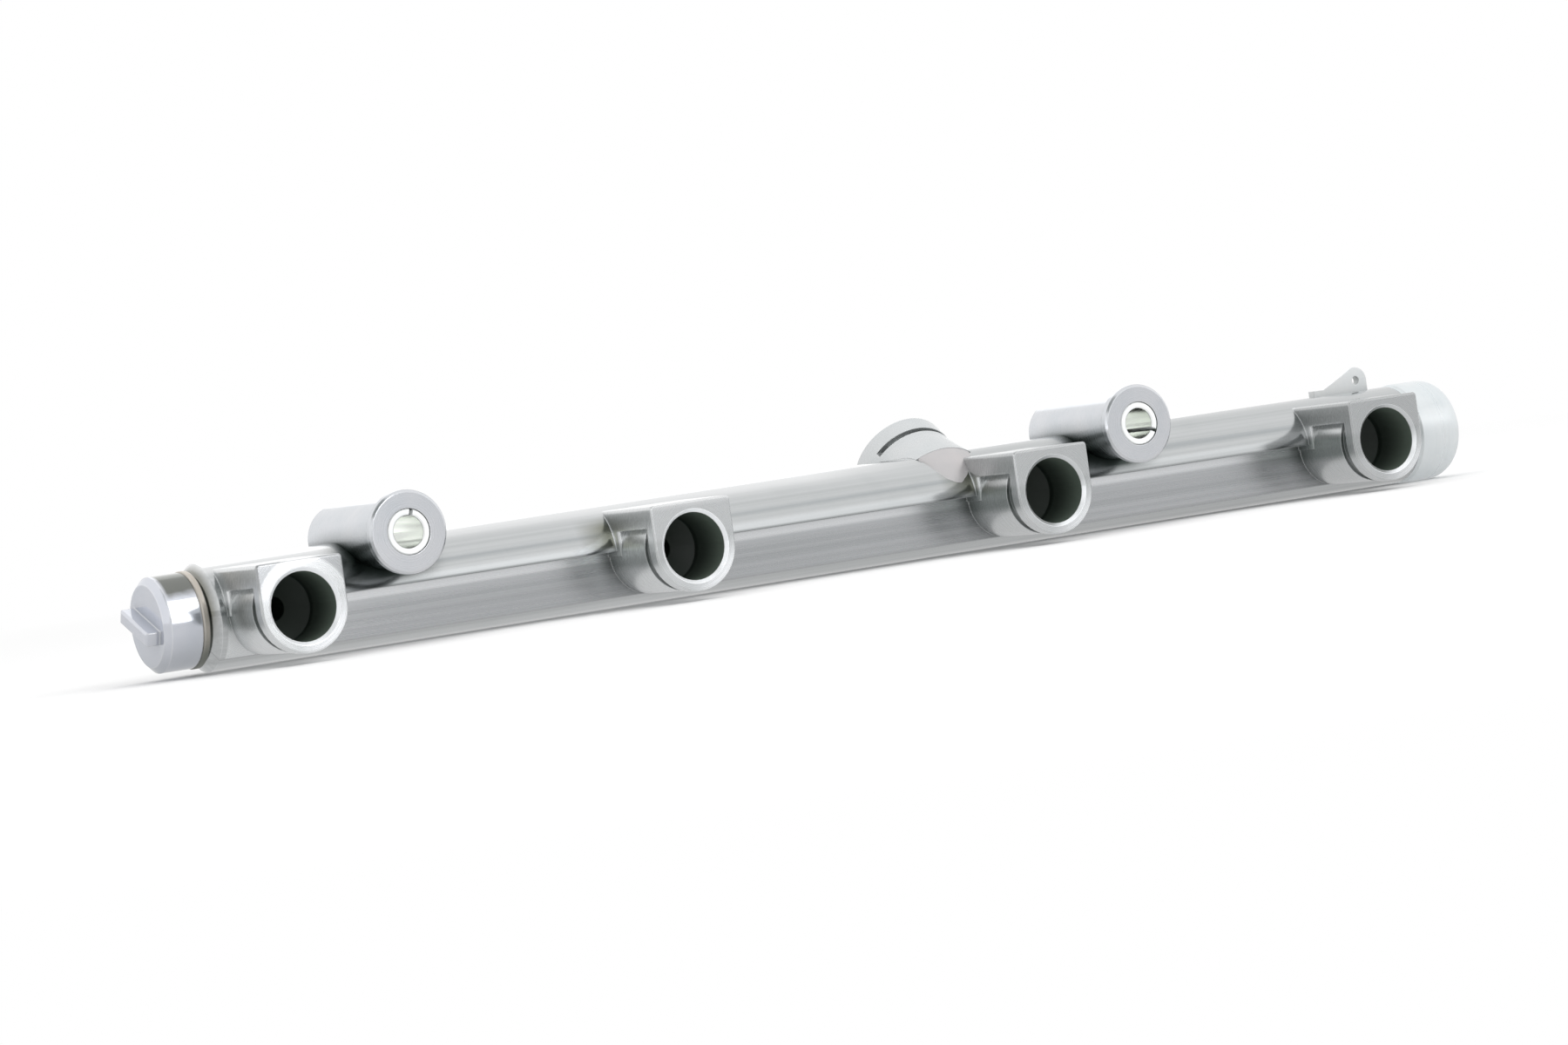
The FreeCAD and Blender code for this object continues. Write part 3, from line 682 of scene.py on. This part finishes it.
def paint_top_reflection(material):
    """Darkens the top of a round piece with a painted dark reflection, ragged at its lower border.
    """
    tree = material.node_tree
    colour = tree.nodes["Principled BSDF"].inputs["Base Color"]
    place = add(tree, "ShaderNodeTexCoord").outputs["Object"]
    parts = add(tree, "ShaderNodeSeparateXYZ", {"Vector": place}).outputs
    clouds = use_effect(tree, "Handling marks", {"Patch": 4.0 * MM})["Clouds"]
    height = math_node(tree, "ADD", parts["Z"], product(tree, clouds, TOP_REFLECTION_RAGGED))
    above = ramp(tree, height, TOP_REFLECTION_HEIGHT, TOP_REFLECTION_HEIGHT + TOP_REFLECTION_FADE_UP)
    behind = ramp(tree, parts["X"], TOP_REFLECTION_START, TOP_REFLECTION_START + TOP_REFLECTION_FADE_ALONG)
    # The painted dark reflection over the plug's top
    dark_top = blend_colour(tree, product(tree, above, behind, TOP_REFLECTION_LEVEL),
                           colour.links[0].from_socket, PLUG_TOP_REFLECTION)
    tree.links.new(dark_top, colour)


def paint_bore_light(material):
    """Makes the inside of a rolled sleeve near white and barely metal, painted light for the light
    that shines through the bore, and smoother than its ends.
    """
    tree = material.node_tree
    sockets = tree.nodes["Principled BSDF"].inputs
    rings = next(node for node in tree.nodes if node.type == "GROUP" and "Radius" in node.outputs)
    bore = ramp(tree, rings.outputs["Radius"], SLEEVE_BORE_RADIUS + 0.1 * MM,
                SLEEVE_BORE_RADIUS + 0.02 * MM)
    colour = sockets["Base Color"].links[0].from_socket
    for socket, result in (("Metallic", ramp(tree, bore, 0.0, 1.0, *SLEEVE_METAL)),
                           ("Base Color", blend_colour(tree, bore, colour, SLEEVE_BORE_LIGHT)),
                           ("Roughness", ramp(tree, bore, 0.0, 1.0, *SLEEVE_ROUGHNESS))):
        tree.links.new(result, sockets[socket])


def add_piece(name, shape, material):
    """Puts a finished bmesh in the scene as a piece that rides on the rail."""
    bmesh.ops.recalc_face_normals(shape, faces=shape.faces)
    for edge in shape.edges:
        edge.smooth = edge.calc_face_angle(0.0) < SHARP_ANGLE
    mesh = bpy.data.meshes.new(name)
    shape.to_mesh(mesh)
    shape.free()
    for face in mesh.polygons:
        face.use_smooth = True
    mesh.materials.append(material)
    piece = bpy.data.objects.new(name, mesh)
    bpy.context.scene.collection.objects.link(piece)
    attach(piece, "root")
    return piece


def inlet_fillet_mesh():
    """Braze fillet in the corner between the edge of the inlet's foot and the tube's front.

    A grid is bent over the tube: its top edge lies along the foot's edge, and it falls in a
    hollow curve to its lower border, which is sunk a little into the tube.
    """
    tilt = math.atan2(INLET_AXIS.z, INLET_AXIS.y)
    shape = bmesh.new()
    bmesh.ops.create_grid(shape, x_segments=FILLET_STEPS[0], y_segments=FILLET_STEPS[1], size=1.0)
    for point in shape.verts:
        sideways = math.sin(math.pi / 2 * point.co.x)
        down = (1.0 - point.co.y) / 2
        beside = FILLET_HALF_WIDTH * sideways
        out = math.sqrt(FOOT_RADIUS ** 2 - beside ** 2)
        step = math.hypot(out, FOOT_START) - TUBE_RADIUS
        shorter = 1.0 - FILLET_SHORT_SIDE * max(0.0, sideways)
        reach = FILLET_REACH * math.sqrt(max(0.0, 1.0 - sideways ** 2)) * shorter
        angle = tilt + math.atan2(out, FOOT_START) - FILLET_TUCK + (reach + FILLET_TUCK) * down
        rise = (step + FILLET_SINK) * (1.0 - down) ** FILLET_HOLLOW
        radius = TUBE_RADIUS - FILLET_SINK + rise
        point.co = (INLET_CENTRE.x + beside, TUBE_CENTRE.y + radius * math.cos(angle),
                    TUBE_CENTRE.z + radius * math.sin(angle))
    bmesh.ops.recalc_face_normals(shape, faces=shape.faces)
    if sum(face.normal.z for face in shape.faces) < 0:
        bmesh.ops.reverse_faces(shape, faces=shape.faces)
    bmesh.ops.solidify(shape, geom=shape.faces, thickness=FILLET_DEPTH)
    return shape


def dress(node, material):
    """Gives a CAD node its material."""
    for slot in frame["nodes"][node].material_slots:
        slot.material = material


class FinishRailBody(bpy.types.Operator):
    """Finish the drawn and machined rail body"""

    bl_idname = "fuel_rail.finish_rail_body"
    bl_label = "Rail body"

    def execute(self, context):
        dress("rail_body", rail_metal("drawn_aluminium", context.scene.fuel_rail_finish))
        return {"FINISHED"}


class FinishBosses(bpy.types.Operator):
    """Finish the mounting bosses and their rolled sleeves"""

    bl_idname = "fuel_rail.finish_bosses"
    bl_label = "Mounting bosses"

    def execute(self, context):
        finish = context.scene.fuel_rail_finish
        centre = (BOLT_HOLE.x, 0.0, BOLT_HOLE.z)
        boss = turned_metal("turned_boss", finish.boss_colour, INTO_CUP, centre,
                            depth=finish.line_depth * 0.5, wrap=BOLT_PITCH, hollow=0.95,
                            reach=16.0 * MM, rings_level=0.05)
        sleeve = turned_metal("rolled_sleeve", finish.sleeve_colour, INTO_CUP, centre,
                              depth=finish.line_depth, roughness=0.3, wrap=BOLT_PITCH, hollow=0.0)
        paint_bore_light(sleeve)
        for number in (1, 2):
            dress("mounting_boss_%d" % number, boss)
            dress("boss_sleeve_%d" % number, sleeve)
        return {"FINISHED"}


class FinishPlug(bpy.types.Operator):
    """Finish the screw plug and its washer"""

    bl_idname = "fuel_rail.finish_plug"
    bl_label = "Screw plug"

    def execute(self, context):
        finish = context.scene.fuel_rail_finish
        plated = turned_metal("plated_plug", finish.plated_colour, ALONG_RAIL, TUBE_CENTRE,
                              depth=finish.line_depth * 0.4, roughness=0.12, hollow=0.3,
                              metal=0.8, edge=0.5 * MM)
        paint_top_reflection(plated)
        dress("end_plug", plated)
        dress("plug_washer", turned_metal(
            "dull_washer", finish.washer_colour, ALONG_RAIL, TUBE_CENTRE,
            depth=finish.line_depth, roughness=0.42))
        return {"FINISHED"}


class FinishCap(bpy.types.Operator):
    """Finish the domed cap and its seal"""

    bl_idname = "fuel_rail.finish_cap"
    bl_label = "Domed cap"

    def execute(self, context):
        finish = context.scene.fuel_rail_finish
        dress("end_cap", turned_metal(
            "smooth_cap", finish.cap_colour, ALONG_RAIL, TUBE_CENTRE,
            depth=finish.line_depth * 0.3, roughness=0.32, metal=0.6, hollow=0.0,
            pitch=0.6 * MM, rings_level=0.2))
        material, tree, shader = start_material("seal_rubber_black")
        clouds = use_effect(tree, "Handling marks", {"Patch": 2.0 * MM})["Clouds"]
        rubber = finish.rubber_colour
        tree.links.new(blend_colour(tree, clouds, rubber, brighter(rubber, RUBBER_LIFT)),
                       shader.inputs["Base Color"])
        tree.links.new(ramp(tree, clouds, *MIDDLE, *RUBBER_ROUGHNESS), shader.inputs["Roughness"])
        dress("cap_seal", material)
        return {"FINISHED"}


class FinishInlet(bpy.types.Operator):
    """Finish the feed inlet and the small eye tab"""

    bl_idname = "fuel_rail.finish_inlet"
    bl_label = "Inlet and tab"

    def execute(self, context):
        finish = context.scene.fuel_rail_finish
        dress("inlet_fitting", turned_metal(
            "turned_inlet", finish.turned_colour, INLET_AXIS, INLET_CENTRE,
            depth=finish.line_depth * 0.5, hollow=0.35, metal=0.7, rings_level=0.06))
        braze = turned_metal("braze_metal", finish.braze_colour, ALONG_RAIL, TUBE_CENTRE,
                             depth=finish.line_depth * 0.3, roughness=0.36, pitch=0.9 * MM,
                             edge=0.01 * MM, hollow=0.0, metal=0.7, rings_level=0.04)
        add_piece("inlet_fillet", inlet_fillet_mesh(), braze)
        dress("clip_tab", turned_metal(
            "tab_metal", finish.tab_colour, INTO_CUP, TAB_EYE,
            depth=finish.line_depth * 0.4, roughness=0.34, pitch=0.6 * MM, metal=0.5, hollow=0.4))
        return {"FINISHED"}


def add_stage_object(name, shape, material):
    """Puts a bmesh in the scene under that name with its material, and returns the object."""
    mesh = bpy.data.meshes.new(name)
    shape.to_mesh(mesh)
    shape.free()
    mesh.materials.append(material)
    item = bpy.data.objects.new(name, mesh)
    bpy.context.scene.collection.objects.link(item)
    return item


def soft_lamp(name, position, size, watts):
    """A large rectangular lamp that faces the studio's centre and isn't seen in the metal."""
    data = bpy.data.lights.new(name, "AREA")
    data.shape = "RECTANGLE"
    data.size, data.size_y = size
    data.energy = watts
    lamp = bpy.data.objects.new(name, data)
    bpy.context.scene.collection.objects.link(lamp)
    lamp.location = position
    aim = Vector(STUDIO_CENTRE) - Vector(position)
    lamp.rotation_euler = aim.to_track_quat("-Z", "Y").to_euler()
    lamp.visible_camera = False
    lamp.visible_glossy = False


def grey_card(name, position, target, size, level, lean):
    """A plain card that only shows in reflections, as a studio flag does."""
    shape = bmesh.new()
    bmesh.ops.create_grid(shape, x_segments=1, y_segments=1, size=0.5)
    bmesh.ops.scale(shape, vec=(size[0], size[1], 1.0), verts=shape.verts)
    bmesh.ops.rotate(shape, matrix=Matrix.Rotation(lean, 3, "Z"), verts=shape.verts)
    turn = (Vector(target) - Vector(position)).to_track_quat("Z", "Y").to_matrix().to_4x4()
    bmesh.ops.transform(shape, matrix=Matrix.Translation(position) @ turn, verts=shape.verts)
    material = bpy.data.materials.new(name)
    material.use_nodes = True
    tree = material.node_tree
    tree.nodes.clear()
    glow = add(tree, "ShaderNodeEmission", {"Color": level, "Strength": 1.0})
    out = add(tree, "ShaderNodeOutputMaterial")
    tree.links.new(glow.outputs[0], out.inputs["Surface"])
    card = add_stage_object(name, shape, material)
    card.visible_camera = False
    card.visible_diffuse = False
    card.visible_shadow = False
    card.visible_transmission = False


def lay_floor(stage):
    """A plain floor under the rail that keeps its shadow and fades to white farther out."""
    centre = (CAD_LOW + CAD_HIGH) / 2
    centre.z = CAD_LOW.z
    shape = bmesh.new()
    bmesh.ops.create_grid(shape, x_segments=1, y_segments=1, size=FLOOR_HALF_WIDTH)
    bmesh.ops.translate(shape, vec=centre, verts=shape.verts)
    material, tree, shader = start_material("plain_floor")
    shader.inputs["Base Color"].default_value = (*stage.floor_colour, 1.0)
    shader.inputs["Roughness"].default_value = FLOOR_ROUGHNESS
    shader.inputs["Specular IOR Level"].default_value = 0.0
    place = add(tree, "ShaderNodeTexCoord").outputs["Object"]
    away = add(tree, "ShaderNodeVectorMath", {0: place, 1: tuple(centre)},
               operation="DISTANCE").outputs["Value"]
    glossy = add(tree, "ShaderNodeLightPath").outputs["Is Glossy Ray"]
    mirrored = product(tree, glossy, FLOOR_MIRRORED)
    far = math_node(tree, "MAXIMUM", ramp(tree, away, *FLOOR_FADE), mirrored)
    level = ramp(tree, mirrored, 0.0, FLOOR_MIRRORED, 1.0, FLOOR_MIRRORED_LEVEL)
    white = add(tree, "ShaderNodeEmission", {"Color": WHITE, "Strength": level})
    mixed = add(tree, "ShaderNodeMixShader",
                {0: far, 1: shader.outputs[0], 2: white.outputs[0]})
    tree.links.new(mixed.outputs[0], tree.nodes["Material Output"].inputs["Surface"])
    floor = add_stage_object("floor", shape, material)


def light_all_round(scene, fill_level):
    """A white world: seen and mirrored at full strength, and dimmer as light on the pieces."""
    world = bpy.data.worlds.new("studio")
    scene.world = world
    world.use_nodes = True
    tree = world.node_tree
    background = tree.nodes["Background"].inputs
    path = add(tree, "ShaderNodeLightPath").outputs
    seen = math_node(tree, "MAXIMUM", path["Is Camera Ray"], path["Is Glossy Ray"])
    seen = math_node(tree, "MAXIMUM", seen, path["Is Transmission Ray"])
    background["Color"].default_value = (*WHITE, 1.0)
    tree.links.new(ramp(tree, seen, 0.0, 1.0, fill_level, 1.0), background["Strength"])


def set_camera(scene, lens):
    """Places the camera in front of the rail's plug end, level with the cups."""
    data = bpy.data.cameras.new("camera")
    data.lens = lens
    data.sensor_fit = "HORIZONTAL"
    data.sensor_width = SENSOR_WIDTH
    data.clip_start = NEAREST
    data.clip_end = FARTHEST
    camera = bpy.data.objects.new("camera", data)
    scene.collection.objects.link(camera)
    look = Vector(CAMERA_LOOK).normalized()
    up = Vector(CAMERA_UP).normalized()
    right = look.cross(up).normalized()
    turn = Matrix((right, up, -look)).transposed().to_4x4()
    camera.matrix_world = Matrix.Translation(CAMERA_PLACE) @ turn
    scene.camera = camera
    scene.view_settings.view_transform = "Standard"


class BuildStage(bpy.types.Operator):
    """Lay the floor, set the lamps and the camera"""

    bl_idname = "fuel_rail.build_stage"
    bl_label = "Studio"

    def execute(self, context):
        stage = context.scene.fuel_rail_stage
        lay_floor(stage)
        light_all_round(context.scene, stage.fill_level)
        for lamp in LAMPS:
            soft_lamp(*lamp)
        for card in CARDS:
            grey_card(*card)
        set_camera(context.scene, stage.lens)
        return {"FINISHED"}


PIECES = (FinishRailBody, FinishBosses, FinishPlug, FinishCap, FinishInlet, BuildStage)


class FuelRailPanel(bpy.types.Panel):
    """Lists the steps of the fuel rail"""

    bl_idname = "VIEW3D_PT_fuel_rail"
    bl_label = "Fuel rail"
    bl_space_type = "VIEW_3D"
    bl_region_type = "UI"
    bl_category = "Fuel rail"

    def draw(self, context):
        for piece in PIECES:
            self.layout.operator(piece.bl_idname)


def register():
    for item in (*SETTINGS, *PIECES, FuelRailPanel):
        bpy.utils.register_class(item)
    bpy.types.Scene.fuel_rail_finish = bpy.props.PointerProperty(type=FuelRailFinish)
    bpy.types.Scene.fuel_rail_stage = bpy.props.PointerProperty(type=FuelRailStage)


def unregister():
    del bpy.types.Scene.fuel_rail_stage
    del bpy.types.Scene.fuel_rail_finish
    for item in reversed((*SETTINGS, *PIECES, FuelRailPanel)):
        bpy.utils.unregister_class(item)


def main():
    register()
    for piece in PIECES:
        area, step = piece.bl_idname.split(".")
        getattr(getattr(bpy.ops, area), step)()


if __name__ == "__main__":
    main()
